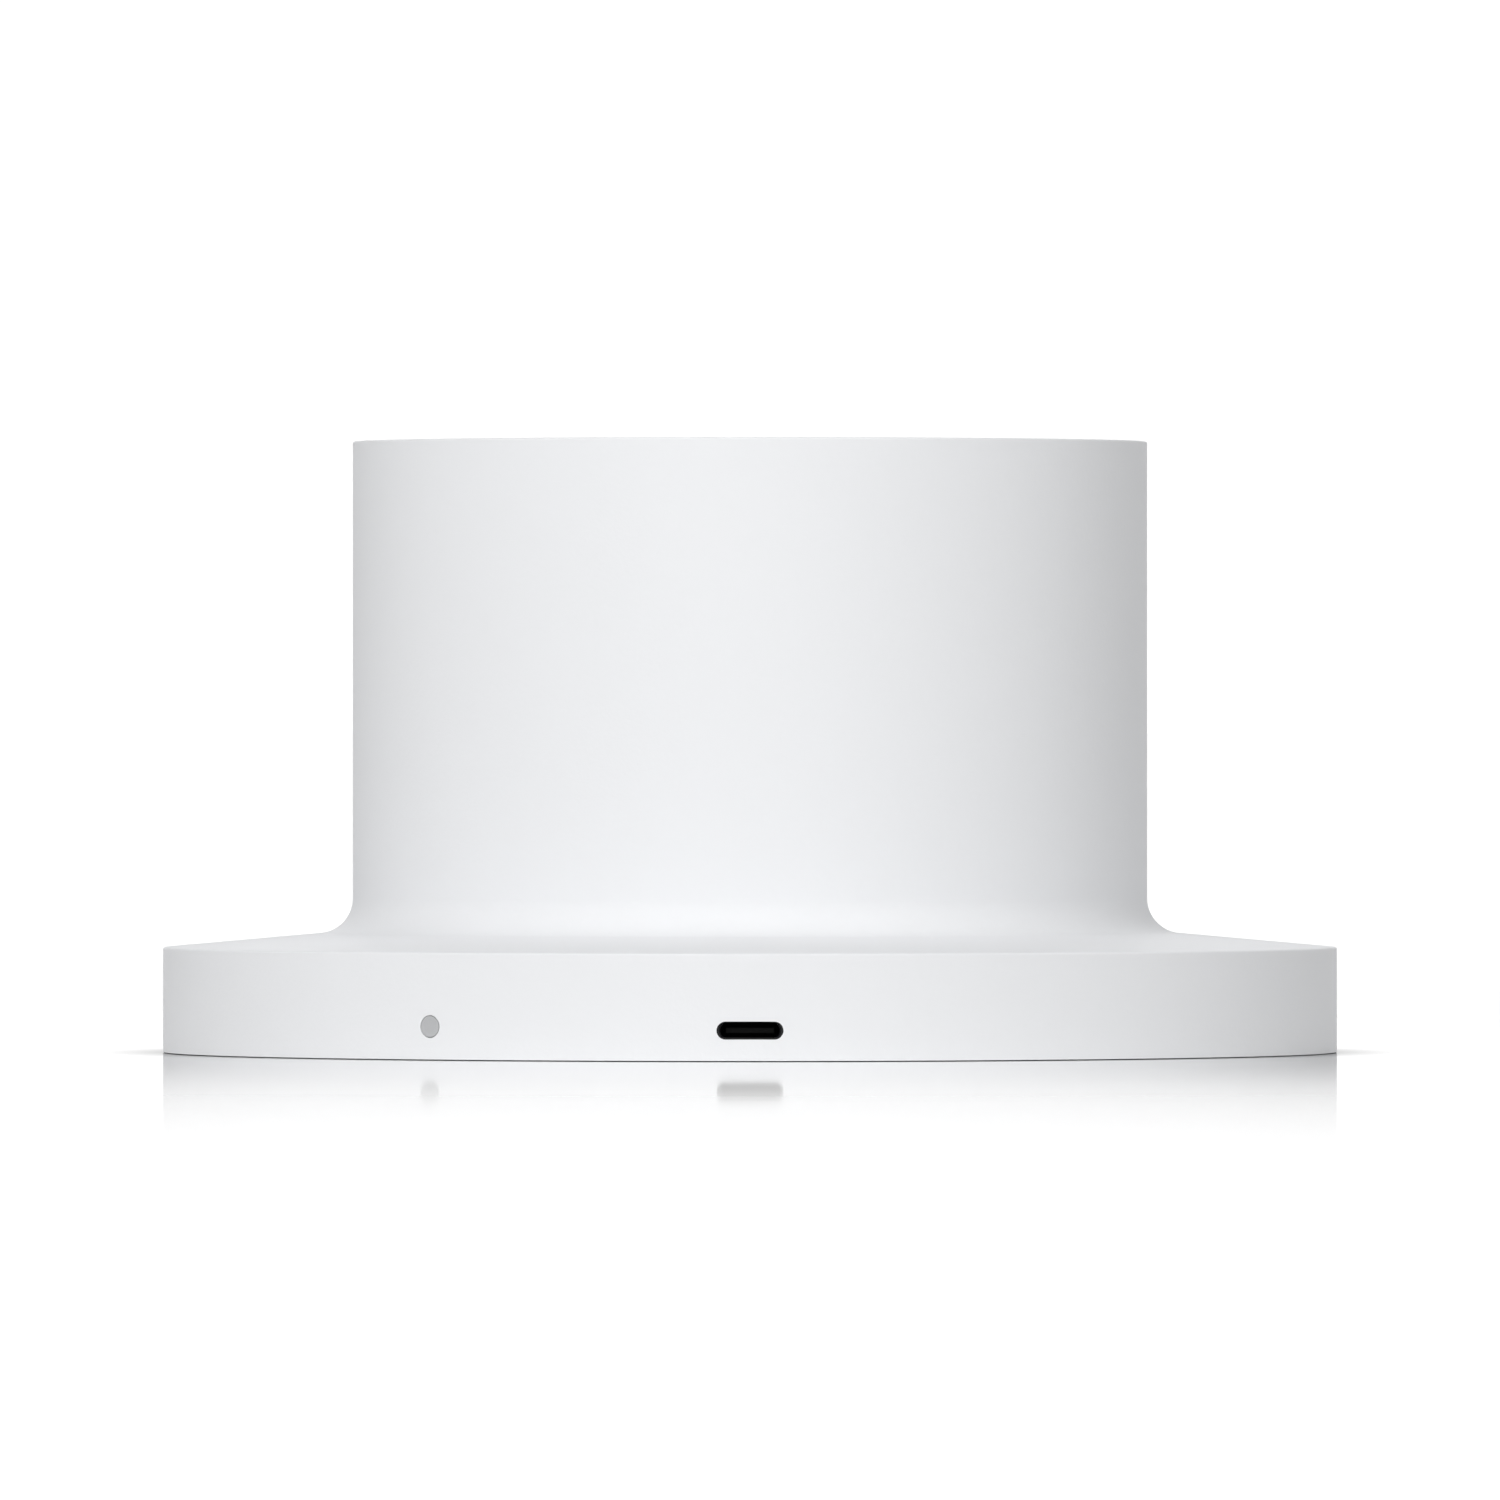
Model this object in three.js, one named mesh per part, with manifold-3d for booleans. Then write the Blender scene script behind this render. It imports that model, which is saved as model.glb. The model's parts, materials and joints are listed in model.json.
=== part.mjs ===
// Streaming media player: a plain round tower standing on a wide shallow flange,
// with one USB-C port and one small round button in the flange's rim.
//
// Millimetres, +Z up.  The origin is the centre of the foot pad's underside, the
// plane z = 0 is the table, and the port looks along -Y.
//
// The shell is one hat-shaped moulding, open underneath.  The main board hangs
// from the shell on four screws, the heat sink stands on the board, the antenna
// carrier hangs from the roof, and the base plate closes the underside.

import * as THREE from 'three';
import { mergeVertices } from 'three/addons/utils/BufferGeometryUtils.js';
import Module from 'manifold-3d';

const wasm = await Module();
wasm.setup();

// ---------------------------------------------------------------- dimensions
const FLANGE_R = 84.0;          // rim of the flange
const RIM_TOP = 15.05;          // height of the rim's upper edge
const CONE_DEG = 5.1;           // the flange's top rises this much towards the tower
const TOWER_R = 56.85;          // straight wall of the tower
const TOTAL_H = 87.4;           // table to roof
const FILLET_R = 5.1;           // flange to tower
const EDGE = 0.25;              // broken outer edges
const SHELL_GAP = 0.08;         // shell's lower edge above the table
const LOW_EDGE = 0.12;          // broken lower edge of the rim
const WALL = 2.2;               // tower and flange thickness
const ROOF = 2.5;               // roof thickness
const RIM_WALL = 2.4;           // rim thickness
const SEG = 72;                 // facets round the shell

const FOOT_R = 68.0;            // foot pad
const FOOT_T = 1.1;
const BASE_R = 81.2;            // base plate
const BASE_Z0 = 0.5;
const BASE_Z1 = 2.3;
const BASE_SCREW_R = 75.0;      // screw circle of the base plate
const BASE_SCREW_DEG = [45, 135, 225, 315];

const PCB_Z0 = 5.9;             // main board, lower face
const PCB_T = 1.6;
const PCB_Z1 = PCB_Z0 + PCB_T;
const PCB_R = 69.5;             // round part of the board
const PCB_LOBE_R = 79.5;        // part of the board that reaches the rim
const PCB_LOBE_DEG = [-129, -78];
const PCB_TAB_W = 10.5;         // tab that carries the receptacle's mouth
const PCB_TAB_Y = -82.2;
const BOARD_SCREW_R = 63.5;
const BOARD_SCREW_DEG = [0, 90, 180, 270];

const PORT_Z = 4.32;            // port centre height
const SLOT_W = 9.33;            // slot through the rim
const SLOT_H = 2.5;
const SEAL_LIP = 0.25;          // soft lip of the port seal, along the slot's lower edge
const POCKET_W = 11.2;          // recess behind the slot, leaves a thin front wall
const POCKET_Y = -83.35;
const POCKET_Z = [2.45, 7.8];
const USB_W = 8.94;             // receptacle shell, outside
const USB_H = 3.16;
const USB_T = 0.3;
const USB_Y = [-83.05, -75.75];

const BUTTON_DEG = -32.25;      // turned this far from the front about +Z
const BUTTON_Z = 4.7;
const BUTTON_R = 1.50;          // visible cap
const BUTTON_HOLE_R = 1.57;
const BUTTON_TRAVEL = 0.3;      // stroke of the cap; the clearances below allow it

const HS_R = 42.0;              // heat sink
const HS_CORE_R = 9.0;
const HS_BASE_Z = [11.0, 14.0];
const HS_TOP = 64.0;
const HS_FINS = 18;
const HS_FIN_T = 1.5;
const HS_LEG_R = 36.0;
const HS_LEG_DEG = [45, 135, 225, 315];

const SOC_T = 1.3;
const PAD_T = 1.0;

const RING_R = [50.0, 52.0];    // antenna carrier
const RING_Z = [64.0, 81.0];
const RING_FLANGE_R = 38.0;
const RING_SCREW_R = 42.0;
const RING_SCREW_DEG = [30, 150, 270];
const ANT_DEG = [90, 210, 330];

const RAD = Math.PI / 180;

// ------------------------------------------------------------------- helpers
function clean(geo) {
  let g = geo.clone();
  for (const k of Object.keys(g.attributes)) if (k !== 'position') g.deleteAttribute(k);
  g = mergeVertices(g, 1e-4);
  const src = g.index.array;
  const keep = [];
  for (let i = 0; i < src.length; i += 3) {
    const [a, b, c] = [src[i], src[i + 1], src[i + 2]];
    if (a !== b && b !== c && a !== c) keep.push(a, b, c);
  }
  const p = g.attributes.position.array;
  let vol = 0;
  for (let i = 0; i < keep.length; i += 3) {
    const [a, b, c] = [keep[i] * 3, keep[i + 1] * 3, keep[i + 2] * 3];
    vol += p[a] * (p[b + 1] * p[c + 2] - p[b + 2] * p[c + 1])
      - p[a + 1] * (p[b] * p[c + 2] - p[b + 2] * p[c])
      + p[a + 2] * (p[b] * p[c + 1] - p[b + 1] * p[c]);
  }
  if (vol < 0) for (let i = 0; i < keep.length; i += 3) [keep[i + 1], keep[i + 2]] = [keep[i + 2], keep[i + 1]];
  g.setIndex(keep);
  return g;
}

function toM(geo) {
  const g = clean(geo);
  return new wasm.Manifold(new wasm.Mesh({
    numProp: 3,
    vertProperties: Float32Array.from(g.attributes.position.array),
    triVerts: Uint32Array.from(g.index.array),
  }));
}

function fromM(man) {
  const m = man.getMesh();
  const g = new THREE.BufferGeometry();
  const n = m.numProp;
  const pos = new Float32Array((m.vertProperties.length / n) * 3);
  for (let i = 0, j = 0; i < m.vertProperties.length; i += n) {
    pos[j++] = m.vertProperties[i];
    pos[j++] = m.vertProperties[i + 1];
    pos[j++] = m.vertProperties[i + 2];
  }
  g.setAttribute('position', new THREE.BufferAttribute(pos, 3));
  g.setIndex(Array.from(m.triVerts));
  return g;
}

// a body turned about +Z; profile is [radius, z] pairs, closed by this function
function turned(profile, seg = 32, deg = 0) {
  const pts = profile.map(([r, z]) => new THREE.Vector2(r, z));
  pts.push(pts[0].clone());
  const g = new THREE.LatheGeometry(pts, seg);
  g.rotateX(Math.PI / 2);
  g.rotateZ(deg * RAD);
  return g;
}

const box = (x0, x1, y0, y1, z0, z1) => {
  const g = new THREE.BoxGeometry(x1 - x0, y1 - y0, z1 - z0);
  g.translate((x0 + x1) / 2, (y0 + y1) / 2, (z0 + z1) / 2);
  return g;
};

const post = (x, y, r, z0, z1, seg = 16) => {
  const g = new THREE.CylinderGeometry(r, r, z1 - z0, seg);
  g.rotateX(Math.PI / 2);
  g.translate(x, y, (z0 + z1) / 2);
  return g;
};

const at = (r, deg) => [r * Math.cos(deg * RAD), r * Math.sin(deg * RAD)];

// outline with round ends, w wide and h high, centred on the origin
function stadium(w, h, n = 8) {
  const r = h / 2;
  const c = w / 2 - r;
  const pts = [];
  for (let i = 0; i <= n; i++) {
    const a = -Math.PI / 2 + (Math.PI * i) / n;
    pts.push(new THREE.Vector2(c + r * Math.cos(a), r * Math.sin(a)));
  }
  for (let i = 0; i <= n; i++) {
    const a = Math.PI / 2 + (Math.PI * i) / n;
    pts.push(new THREE.Vector2(-c + r * Math.cos(a), r * Math.sin(a)));
  }
  return pts;
}

// outline drawn in x,z and pushed along y from y0 to y1, lifted to height z
function alongY(pts, y0, y1, z, holes = []) {
  const s = new THREE.Shape(pts);
  for (const h of holes) s.holes.push(new THREE.Path(h));
  const g = new THREE.ExtrudeGeometry(s, { depth: y1 - y0, bevelEnabled: false });
  g.rotateX(Math.PI / 2);
  g.translate(0, y1, z);
  return g;
}

// outline drawn in x,y and pushed along z
function alongZ(pts, z0, z1, holes = []) {
  const s = new THREE.Shape(pts);
  for (const h of holes) s.holes.push(new THREE.Path(h));
  const g = new THREE.ExtrudeGeometry(s, { depth: z1 - z0, bevelEnabled: false });
  g.translate(0, 0, z0);
  return g;
}

const ring = (x, y, r, n = 16) => {
  const pts = [];
  for (let i = 0; i < n; i++) pts.push(new THREE.Vector2(x + r * Math.cos((2 * Math.PI * i) / n), y + r * Math.sin((2 * Math.PI * i) / n)));
  return pts;
};

const group = new THREE.Group();
group.name = 'streaming_media_player';

function add(name, geo, color, roughness, metalness = 0) {
  const m = new THREE.Mesh(clean(geo), new THREE.MeshStandardMaterial({ color, roughness, metalness }));
  m.name = name;
  group.add(m);
}

// a screw standing on +Z: head from z0 to z1, shank on up to z2; a screw that
// can be seen from outside gets its cross recess
function screw(x, y, headR, shankR, z0, z1, z2, recess = false) {
  const head = turned([[0, z0], [headR - 0.25, z0], [headR, z0 + 0.25], [headR, z1], [shankR, z1], [shankR, z2], [0, z2]], 16);
  if (!recess) {
    head.translate(x, y, 0);
    return head;
  }
  const d = Math.min(0.5, (z1 - z0) * 0.6);
  let m = toM(head);
  m = m.subtract(toM(box(-headR * 0.5, headR * 0.5, -0.32, 0.32, z0 - 0.5, z0 + d)));
  m = m.subtract(toM(box(-0.32, 0.32, -headR * 0.5, headR * 0.5, z0 - 0.5, z0 + d)));
  const g = fromM(m);
  g.translate(x, y, 0);
  return g;
}

// --------------------------------------------------------------- outer shell
const slope = Math.tan(CONE_DEG * RAD);
const nS = Math.sin(CONE_DEG * RAD);
const nC = Math.cos(CONE_DEG * RAD);
// centre of the fillet between flange and tower
const FC_R = TOWER_R + FILLET_R;
const FC_Z = RIM_TOP + (FILLET_R + (FLANGE_R - FC_R) * nS) / nC;

function fillet(radius, n) {
  const pts = [];
  const a0 = Math.atan2(-nC, -nS);          // pointing down at the cone
  const a1 = -Math.PI;                      // pointing at the wall
  for (let i = 0; i <= n; i++) {
    const a = a0 + ((a1 - a0) * i) / n;
    pts.push([FC_R + radius * Math.cos(a), FC_Z + radius * Math.sin(a)]);
  }
  return pts;
}

const RIM_IN = FLANGE_R - RIM_WALL;
const coneUnder = (r) => RIM_TOP + (FLANGE_R - r) * slope - WALL / nC;
const shellProfile = [
  [RIM_IN, SHELL_GAP],
  [FLANGE_R - LOW_EDGE, SHELL_GAP],
  [FLANGE_R, SHELL_GAP + LOW_EDGE],
  [FLANGE_R, RIM_TOP - EDGE],
  [FLANGE_R - EDGE, RIM_TOP + EDGE * slope],
  ...fillet(FILLET_R, 6),
  [TOWER_R, TOTAL_H - EDGE],
  [TOWER_R - EDGE, TOTAL_H],
  [0, TOTAL_H],
  [0, TOTAL_H - ROOF],
  [TOWER_R - WALL, TOTAL_H - ROOF],
  ...fillet(FILLET_R + WALL, 3).reverse(),
  [RIM_IN, coneUnder(RIM_IN)],
];

let shell = toM(turned(shellProfile, SEG));
for (const d of BASE_SCREW_DEG) shell = shell.add(toM(post(...at(BASE_SCREW_R, d), 3.25, BASE_Z1, 14.5)));
for (const d of BOARD_SCREW_DEG) shell = shell.add(toM(post(...at(BOARD_SCREW_R, d), 3.0, PCB_Z1, 15.6)));
for (const d of RING_SCREW_DEG) shell = shell.add(toM(post(...at(RING_SCREW_R, d), 3.0, RING_Z[1], TOTAL_H - ROOF + 0.8)));
for (const d of BASE_SCREW_DEG) shell = shell.subtract(toM(post(...at(BASE_SCREW_R, d), 1.35, BASE_Z1 - 1, 10.5)));
for (const d of BOARD_SCREW_DEG) shell = shell.subtract(toM(post(...at(BOARD_SCREW_R, d), 1.35, PCB_Z1 - 1, 13.6)));
for (const d of RING_SCREW_DEG) shell = shell.subtract(toM(post(...at(RING_SCREW_R, d), 1.35, RING_Z[1] - 1, 84.4)));
// port: slot through the rim, recess behind it
shell = shell.subtract(toM(alongY(stadium(SLOT_W, SLOT_H), -90, -80, PORT_Z)));
shell = shell.subtract(toM(box(-POCKET_W / 2, POCKET_W / 2, POCKET_Y, -78, ...POCKET_Z)));
// button hole
const hole = new THREE.CylinderGeometry(BUTTON_HOLE_R, BUTTON_HOLE_R, 8, 24);
hole.translate(0, -82, BUTTON_Z);
hole.rotateZ(BUTTON_DEG * RAD);
shell = shell.subtract(toM(hole));
add('outer_shell', fromM(shell), 0xf1f2f3, 0.62);

// ------------------------------------------------------ base plate, foot pad
let base = toM(turned([
  [0, FOOT_T], [FOOT_R + 0.3, FOOT_T], [FOOT_R + 0.3, BASE_Z0], [BASE_R - 0.3, BASE_Z0],
  [BASE_R, BASE_Z0 + 0.3], [BASE_R, BASE_Z1], [0, BASE_Z1],
], SEG));
for (const d of BASE_SCREW_DEG) {
  base = base.subtract(toM(post(...at(BASE_SCREW_R, d), 2.6, BASE_Z0 - 1, 1.25)));
  base = base.subtract(toM(post(...at(BASE_SCREW_R, d), 1.45, 0, 4)));
}
add('base_plate', fromM(base), 0xe9eaeb, 0.6);

add('foot_pad', turned([
  [0, 0], [FOOT_R - 0.4, 0], [FOOT_R, 0.4], [FOOT_R, FOOT_T], [0, FOOT_T],
], SEG), 0xb9bbbd, 0.85);

BASE_SCREW_DEG.forEach((d, i) => add(`base_screw_${i + 1}`,
  screw(...at(BASE_SCREW_R, d), 2.3, 1.2, 0.6, 1.25, 9.5, true), 0x9a9ca0, 0.35, 0.9));

// ---------------------------------------------------------------- main board
const outline = [];
const [l0, l1] = PCB_LOBE_DEG;
const tabDeg = Math.asin(PCB_TAB_W / 2 / PCB_LOBE_R) / RAD;
for (let d = l0; d < -90 - tabDeg - 1; d += 5) outline.push(new THREE.Vector2(...at(PCB_LOBE_R, d)));
outline.push(new THREE.Vector2(...at(PCB_LOBE_R, -90 - tabDeg)));
outline.push(new THREE.Vector2(-PCB_TAB_W / 2, PCB_TAB_Y));
outline.push(new THREE.Vector2(PCB_TAB_W / 2, PCB_TAB_Y));
outline.push(new THREE.Vector2(...at(PCB_LOBE_R, -90 + tabDeg)));
outline.push(new THREE.Vector2(...at(PCB_LOBE_R, -82)));
outline.push(new THREE.Vector2(...at(PCB_LOBE_R, l1)));
for (let d = l1; d <= l0 + 360; d += 5.0) outline.push(new THREE.Vector2(...at(PCB_R, d)));
outline.push(new THREE.Vector2(...at(PCB_R, l0 + 360)));
const boardHoles = [
  ...BOARD_SCREW_DEG.map((d) => ring(...at(BOARD_SCREW_R, d), 1.45)),
  ...HS_LEG_DEG.map((d) => ring(...at(HS_LEG_R, d), 1.45)),
];
add('main_board', alongZ(outline, PCB_Z0, PCB_Z1, boardHoles), 0x1d5a3c, 0.5);

BOARD_SCREW_DEG.forEach((d, i) => add(`board_screw_${i + 1}`,
  screw(...at(BOARD_SCREW_R, d), 2.2, 1.2, PCB_Z0 - 1.3, PCB_Z0, 13.0), 0xa6a8ac, 0.35, 0.9));

// --------------------------------------------------------- port receptacle
add('usb_c_shell', alongY(stadium(USB_W, USB_H), USB_Y[0], USB_Y[1], PORT_Z,
  [stadium(USB_W - 2 * USB_T, USB_H - 2 * USB_T)]), 0xb9bcc0, 0.3, 1.0);
// flat seal between the receptacle's face and the rim's thin front wall; a soft
// lip along the lower edge of its opening stands a little way into the slot
const seal = stadium(8.7, 2.5).map((p) => new THREE.Vector2(p.x, Math.max(p.y, -1.25 + SEAL_LIP)));
add('port_gasket', alongY(stadium(10.6, 3.6), POCKET_Y, USB_Y[0], PORT_Z, [seal]), 0x101011, 0.8);
let tongue = toM(alongY(stadium(USB_W - 2 * USB_T - 0.12, USB_H - 2 * USB_T - 0.12), -77.6, -75.9, PORT_Z));
tongue = tongue.add(toM(box(-3.35, 3.35, -82.4, -77.0, PORT_Z - 0.35, PORT_Z + 0.35)));
add('usb_c_tongue', fromM(tongue), 0x141416, 0.45);

// ------------------------------------------------------------ button, switch
const turnFront = (g) => g.rotateZ(BUTTON_DEG * RAD);
// cap: [radius, y] pairs turned about the push axis; the collar keeps it inside
const capPts = [
  [0, -78.3], [0, -84.0], [BUTTON_R - 0.12, -84.0], [BUTTON_R, -83.88], [BUTTON_R, -81.3],
  [2.1, -81.3], [2.1, -80.5], [1.0, -80.5], [1.0, -78.3], [0, -78.3],
].map(([r, y]) => new THREE.Vector2(r, y));
const cap = new THREE.LatheGeometry(capPts, 24);
cap.translate(0, 0, BUTTON_Z);
add('button_cap', turnFront(cap), 0xbfc0c2, 0.55);

const SW_FRONT = -76.9;
const SW_BACK = -73.4;
add('switch_plunger', turnFront(box(-0.8, 0.8, -78.3, -75.5, BUTTON_Z - 0.6, BUTTON_Z + 0.6)), 0x2a2a2c, 0.5);
let sw = toM(box(-2.3, 2.3, SW_FRONT, SW_BACK, 3.5, PCB_Z0));
sw = sw.subtract(toM(box(-0.95, 0.95, SW_FRONT - 1, -74.6, BUTTON_Z - 0.75, BUTTON_Z + 0.75)));
add('switch_body', turnFront(fromM(sw)), 0x1b1b1d, 0.5);
// snap dome behind the plunger: a thin curved disc
const domePts = [
  [0.65, -74.65], [0.5, -74.85], [0, -75.05], [0, -75.15], [0.55, -74.95], [0.7, -74.75], [0.7, -74.65], [0.65, -74.65],
].map(([r, y]) => new THREE.Vector2(r, y));
const dome = new THREE.LatheGeometry(domePts, 12);
dome.translate(0, 0, BUTTON_Z);
add('switch_dome', turnFront(dome), 0xc4c6c8, 0.3, 1.0);

// -------------------------------------------------------- chips on the board
const chip = (name, x, y, w, d, t, color, rough = 0.45, metal = 0) =>
  add(name, box(x - w / 2, x + w / 2, y - d / 2, y + d / 2, PCB_Z1, PCB_Z1 + t), color, rough, metal);
chip('soc', 0, 0, 15, 15, SOC_T, 0x232427);
chip('dram_1', -15.8, 7.2, 10, 13, 1.0, 0x1c1d1f);
chip('dram_2', -15.8, -7.2, 10, 13, 1.0, 0x1c1d1f);
chip('flash_memory', 15.6, 0, 11.5, 13, 1.0, 0x1c1d1f);
chip('power_chip', 0, -52, 6, 6, 0.9, 0x1c1d1f);
chip('crystal', 29.5, -6, 3.2, 2.5, 0.8, 0xb7b9bb, 0.3, 0.9);
[[-11, -52], [11, -52], [11, -60]].forEach(([x, y], i) => {
  const c = 2.5;
  const h = 0.8;
  const pts = [[-c, -c + h], [-c + h, -c], [c - h, -c], [c, -c + h], [c, c - h], [c - h, c], [-c + h, c], [-c, c - h]]
    .map(([u, v]) => new THREE.Vector2(x + u, y + v));
  add(`inductor_${i + 1}`, alongZ(pts, PCB_Z1, PCB_Z1 + 2.4), 0x3a3b3d, 0.6, 0.2);
});
[[-21, -50], [21, -50]].forEach(([x, y], i) => {
  const g = turned([[0, PCB_Z1], [3.15, PCB_Z1], [3.15, PCB_Z1 + 0.9], [2.95, PCB_Z1 + 1.2], [3.15, PCB_Z1 + 1.5],
    [3.15, PCB_Z1 + 5.5], [2.9, PCB_Z1 + 5.8], [0, PCB_Z1 + 5.8]], 20);
  g.translate(x, y, 0);
  add(`capacitor_${i + 1}`, g, 0xc9cbcd, 0.3, 0.9);
});

// shielding can round the processor and its memory, open over the processor
let can = toM(box(-23, 23, -17, 17, PCB_Z1, PCB_Z1 + 2.0));
can = can.subtract(toM(box(-22.7, 22.7, -16.7, 16.7, PCB_Z1 - 1, PCB_Z1 + 1.7)));
can = can.subtract(toM(box(-8.6, 8.6, -8.6, 8.6, PCB_Z1, PCB_Z1 + 3)));
add('soc_shield', fromM(can), 0xb4b7ba, 0.35, 0.95);
add('thermal_pad', box(-7, 7, -7, 7, PCB_Z1 + SOC_T, PCB_Z1 + SOC_T + PAD_T), 0x8fa3b8, 0.9);

// ----------------------------------------------------------------- heat sink
const star = [];
for (let i = 0; i < HS_FINS; i++) {
  const a = (360 / HS_FINS) * (i + 0.5);
  const half = Math.asin(HS_FIN_T / 2 / HS_CORE_R) / RAD;
  const halfOut = Math.asin(HS_FIN_T / 2 / HS_R) / RAD;
  star.push(new THREE.Vector2(...at(HS_CORE_R, a - half)));
  star.push(new THREE.Vector2(...at(HS_R, a - halfOut)));
  star.push(new THREE.Vector2(...at(HS_R, a + halfOut)));
  star.push(new THREE.Vector2(...at(HS_CORE_R, a + half)));
}
let hs = toM(alongZ(star, HS_BASE_Z[1] - 0.5, HS_TOP));
hs = hs.add(toM(turned([[0, HS_BASE_Z[0]], [HS_R + 0.6, HS_BASE_Z[0]], [HS_R + 0.6, HS_BASE_Z[1]], [0, HS_BASE_Z[1]]], 72)));
hs = hs.add(toM(box(-7.4, 7.4, -7.4, 7.4, PCB_Z1 + SOC_T + PAD_T, HS_BASE_Z[0] + 0.5)));
for (const d of HS_LEG_DEG) hs = hs.add(toM(post(...at(HS_LEG_R, d), 3.0, PCB_Z1, HS_BASE_Z[0] + 0.5)));
for (const d of HS_LEG_DEG) hs = hs.subtract(toM(post(...at(HS_LEG_R, d), 1.35, PCB_Z1 - 1, 13.2)));
add('heat_sink', fromM(hs), 0xa9abae, 0.42, 0.9);
HS_LEG_DEG.forEach((d, i) => add(`heat_sink_screw_${i + 1}`,
  screw(...at(HS_LEG_R, d), 2.2, 1.2, PCB_Z0 - 1.3, PCB_Z0, 12.6), 0xa6a8ac, 0.35, 0.9));

// ------------------------------------------------ wireless module and antennas
add('wireless_board', box(-11, 11, 40.5, 57.5, PCB_Z1, PCB_Z1 + 0.8), 0x17323f, 0.5);
let wcan = toM(box(-10.4, 10.4, 41, 52.5, PCB_Z1 + 0.8, PCB_Z1 + 2.5));
wcan = wcan.subtract(toM(box(-10.1, 10.1, 41.3, 52.2, PCB_Z1 - 1, PCB_Z1 + 2.2)));
add('wireless_can', fromM(wcan), 0xb4b7ba, 0.35, 0.95);

let carrier = toM(turned([
  [RING_R[0], RING_Z[0]], [RING_R[1], RING_Z[0]], [RING_R[1], RING_Z[1]],
  [RING_FLANGE_R, RING_Z[1]], [RING_FLANGE_R, RING_Z[1] - 2], [RING_R[0], RING_Z[1] - 2],
], 48));
for (const d of RING_SCREW_DEG) carrier = carrier.subtract(toM(post(...at(RING_SCREW_R, d), 1.45, RING_Z[1] - 3, RING_Z[1] + 1)));
add('antenna_carrier', fromM(carrier), 0x3b3d40, 0.6);
RING_SCREW_DEG.forEach((d, i) => add(`carrier_screw_${i + 1}`,
  screw(...at(RING_SCREW_R, d), 2.2, 1.2, RING_Z[1] - 3.3, RING_Z[1] - 2, 84.0), 0xa6a8ac, 0.35, 0.9));

ANT_DEG.forEach((deg, i) => {
  const rOut = RING_R[0] - 0.05;
  const rIn = rOut - 0.35;
  const pts = [];
  for (let k = -2; k <= 2; k++) pts.push(new THREE.Vector2(...at(rOut, deg + k * 7.5)));
  for (let k = 2; k >= -2; k--) pts.push(new THREE.Vector2(...at(rIn, deg + k * 7.5)));
  add(`antenna_${i + 1}`, alongZ(pts, 66, 76), 0xb87b3f, 0.4, 0.8);
});

// leads: up the gap between heat sink and carrier, then round to each antenna
const leadShape = new THREE.Shape(ring(0, 0, 0.65, 8));
const polar = (r, deg, z) => new THREE.Vector3(...at(r, deg), z);
const leadPaths = [
  [[0, 54.9], [90], 0],
  [[-7, 54.9], [100, 130, 160, 190, 207], 1],
  [[7, 54.9], [80, 50, 20, -10, -27], 1],
];
leadPaths.forEach(([start, degs, far], i) => {
  const [x, y] = start;
  const d0 = degs[0];
  const pts = [
    new THREE.Vector3(x, y, PCB_Z1 + 0.85),
    new THREE.Vector3(x, y, PCB_Z1 + 3.0),
    polar(51.5, 90 - (90 - d0) * 0.9, PCB_Z1 + 6.0),
    polar(46.5, d0, PCB_Z1 + 11.0),
    polar(46.3, d0, 36),
    polar(46.3, d0, far ? 55 : 62),
  ];
  if (far) {
    degs.slice(1).forEach((d, k) => pts.push(polar(46.3, d, 60 + k * 1.6)));
    const end = degs[degs.length - 1] + (i === 1 ? 3 : -3);
    pts.push(polar(46.8, end, 67.0));
    pts.push(polar(48.9, end, 69.5));
  } else {
    pts.push(polar(46.8, 90, 67.0));
    pts.push(polar(48.9, 90, 69.5));
  }
  const curve = new THREE.CatmullRomCurve3(pts, false, 'centripetal');
  const g = new THREE.ExtrudeGeometry(leadShape, { steps: far ? 32 : 18, extrudePath: curve, bevelEnabled: false });
  add(`antenna_lead_${i + 1}`, g, 0x2b2c2e, 0.6);
});

export default group;
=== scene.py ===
import json
import math

import bmesh
import bpy
from mathutils import Matrix, Vector
from mathutils.geometry import delaunay_2d_cdt

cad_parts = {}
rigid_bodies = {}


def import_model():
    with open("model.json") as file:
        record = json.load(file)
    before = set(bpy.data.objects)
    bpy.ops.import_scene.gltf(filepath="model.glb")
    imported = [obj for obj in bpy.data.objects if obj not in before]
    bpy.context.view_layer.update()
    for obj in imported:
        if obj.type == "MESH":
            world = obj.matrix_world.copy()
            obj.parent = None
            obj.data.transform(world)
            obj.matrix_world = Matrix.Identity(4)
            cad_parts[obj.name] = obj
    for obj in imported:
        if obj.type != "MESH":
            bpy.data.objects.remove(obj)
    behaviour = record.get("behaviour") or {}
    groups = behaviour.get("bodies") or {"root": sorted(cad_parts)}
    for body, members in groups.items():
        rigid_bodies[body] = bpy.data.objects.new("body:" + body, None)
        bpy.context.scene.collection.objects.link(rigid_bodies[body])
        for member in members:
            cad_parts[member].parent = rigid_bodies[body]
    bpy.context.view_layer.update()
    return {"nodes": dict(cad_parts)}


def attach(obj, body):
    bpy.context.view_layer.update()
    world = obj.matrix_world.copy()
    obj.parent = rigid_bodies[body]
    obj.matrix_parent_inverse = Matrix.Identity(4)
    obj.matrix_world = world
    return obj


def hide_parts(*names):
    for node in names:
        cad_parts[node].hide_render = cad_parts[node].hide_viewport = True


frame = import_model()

scene = bpy.context.scene
MM = 0.001

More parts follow.
